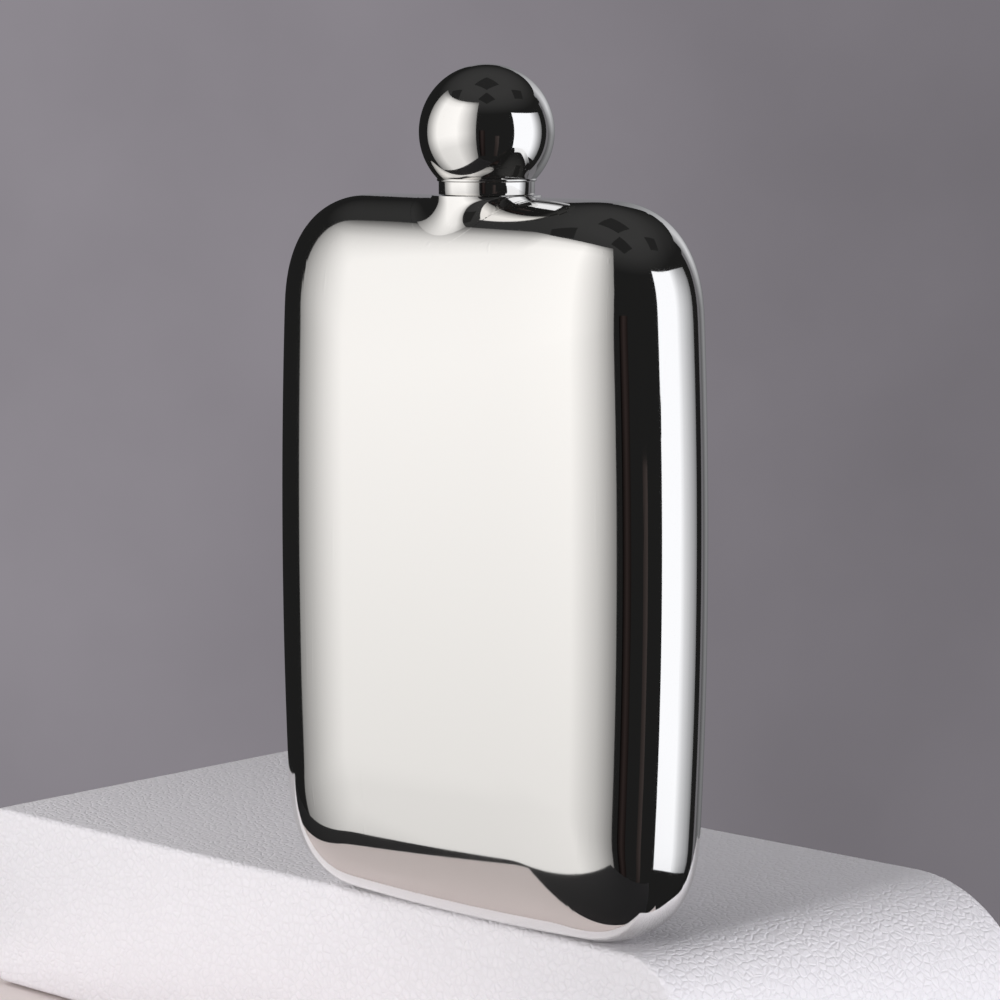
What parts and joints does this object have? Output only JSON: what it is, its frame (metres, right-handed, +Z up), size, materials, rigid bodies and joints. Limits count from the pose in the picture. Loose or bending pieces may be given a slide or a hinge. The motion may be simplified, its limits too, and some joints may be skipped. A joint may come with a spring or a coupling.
{
  "type": "hip flask",
  "caption": "Pillow-shaped polished steel hip flask with a short threaded neck and a hollow ball screw cap.",
  "frame": {"origin": "middle of the flat foot that the flask stands on", "axes": "+Z up along the neck, +X across the width, front face towards -Y"},
  "size_m": [0.086, 0.03, 0.14],
  "materials": {
    "polished_steel": "mirror polished stainless steel with faint hairlines",
    "turned_steel": "fine turned stainless steel",
    "weld_metal": "ground stainless weld metal",
    "silicone": "translucent white silicone, satin"
  },
  "bodies": {
    "flask": {"front_shell": "polished_steel", "rear_shell": "polished_steel", "seam_weld": "weld_metal", "neck_flare": "polished_steel", "neck_tube": "turned_steel"},
    "cap_lift": {"seal_washer": "silicone"},
    "cap": {"thread_insert": "turned_steel", "cap_collar": "polished_steel", "ball_lower": "polished_steel", "ball_weld": "weld_metal", "ball_upper": "polished_steel"}
  },
  "joints": [
    {"name": "cap_rise", "type": "slide", "parent": "flask", "child": "cap_lift", "axis": [0, 0, 1], "range_m": [0, 0.015]},
    {"name": "cap_turn", "type": "hinge", "parent": "cap_lift", "child": "cap", "pos_m": [0, 0, 0.1187], "axis": [0, 0, 1], "range_deg": [0, 1800]}
  ],
  "couplings": [
    {"joint": "cap_rise", "follows": "cap_turn", "m_per_rad": 0.00047746}
  ]
}
